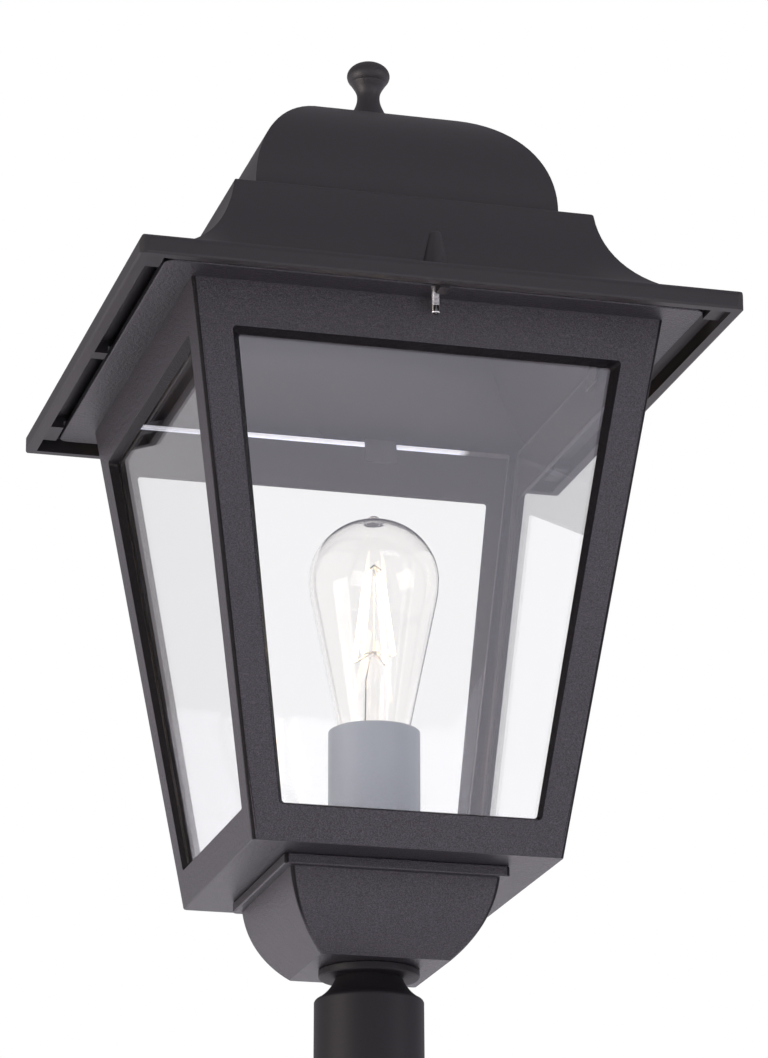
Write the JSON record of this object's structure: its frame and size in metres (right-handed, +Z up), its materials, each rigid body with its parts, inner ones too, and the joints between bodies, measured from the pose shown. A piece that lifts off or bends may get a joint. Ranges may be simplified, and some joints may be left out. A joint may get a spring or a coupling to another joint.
{
  "type": "lantern",
  "caption": "Square tapered post top lantern with coved and domed roof, clear glass panes, filament bulb and round collar that slips over a post.",
  "frame": {"origin": "on the lantern's vertical axis, in the plane of the collar's lower rim, where the post enters the socket", "axes": "+X to the lantern's right seen from the front, +Y to the back, +Z up along the post's axis to the finial"},
  "size_m": [0.296, 0.296, 0.5678],
  "materials": {
    "powder_coat": "fine textured matt black powder coat on cast aluminium",
    "clear_glass": "clear, smooth",
    "seal_rubber": "matt black rubber",
    "stainless": "plain stainless steel",
    "brass": "plain brass",
    "white_plastic": "matt white nylon",
    "black_plastic": "satin black thermoset",
    "porcelain": "glazed white ceramic",
    "lead_brown": "brown sleeved wire",
    "lead_blue": "blue sleeved wire",
    "lead_green": "green and yellow sleeved wire",
    "nickel": "plain nickel",
    "phosphor": "yellow phosphor sleeve over the light strip"
  },
  "bodies": {
    "lantern": {"lantern_body": "powder_coat", "pane_front": "clear_glass", "pane_right": "clear_glass", "pane_back": "clear_glass", "pane_left": "clear_glass", "seal_front": "seal_rubber", "seal_right": "seal_rubber", "seal_back": "seal_rubber", "seal_left": "seal_rubber", "pane_clips": "stainless", "clip_screws": "stainless", "base_cup": "powder_coat", "cup_screws": "stainless", "post_collar": "powder_coat", "clamp_tube": "stainless", "tube_nuts": "stainless", "tube_washers": "stainless", "cable_bush": "seal_rubber", "floor_grommet": "seal_rubber", "terminal_block": "white_plastic", "terminal_screws": "brass", "block_screws": "stainless", "earth_screw": "stainless", "earth_washer": "brass", "lead_live": "lead_brown", "lead_neutral": "lead_blue", "lead_earth": "lead_green", "holder_sleeve": "black_plastic", "holder_core": "porcelain", "holder_thread": "brass", "holder_contact": "brass", "holder_bracket": "stainless", "holder_screws": "stainless"},
    "roof": {"roof": "powder_coat"},
    "finial": {"finial": "powder_coat", "finial_washer": "stainless", "finial_nut": "stainless"},
    "roof_screw_front": {"roof_screw_front": "stainless"},
    "roof_screw_back": {"roof_screw_back": "stainless"},
    "bulb": {"bulb_glass": "clear_glass", "bulb_cap": "nickel", "bulb_contact": "brass", "bulb_stem": "clear_glass", "bulb_filaments": "phosphor", "bulb_wires": "nickel"},
    "post_screw_1": {"post_screw_1": "stainless"},
    "post_screw_2": {"post_screw_2": "stainless"},
    "post_screw_3": {"post_screw_3": "stainless"}
  },
  "joints": [
    {"name": "roof_lift", "type": "slide", "parent": "lantern", "child": "roof", "axis": [0, 0, 1], "range_m": [0, 0.15]},
    {"name": "finial_turn", "type": "hinge", "parent": "roof", "child": "finial", "pos_m": [0, 0, 0.531], "axis": [0, 0, 1], "continuous": true},
    {"name": "roof_screw_front_turn", "type": "slide", "parent": "lantern", "child": "roof_screw_front", "axis": [0, 0, -1], "range_m": [0, 0.022]},
    {"name": "roof_screw_back_turn", "type": "slide", "parent": "lantern", "child": "roof_screw_back", "axis": [0, 0, -1], "range_m": [0, 0.022]},
    {"name": "bulb_turn", "type": "slide", "parent": "lantern", "child": "bulb", "axis": [0, 0, 1], "range_m": [0, 0.032]},
    {"name": "post_screw_1_turn", "type": "slide", "parent": "lantern", "child": "post_screw_1", "axis": [-0.866, -0.5, 0], "range_m": [-0.003, 0.005]},
    {"name": "post_screw_2_turn", "type": "slide", "parent": "lantern", "child": "post_screw_2", "axis": [0.866, -0.5, 0], "range_m": [-0.003, 0.005]},
    {"name": "post_screw_3_turn", "type": "slide", "parent": "lantern", "child": "post_screw_3", "axis": [0, 1, 0], "range_m": [-0.003, 0.005]}
  ]
}
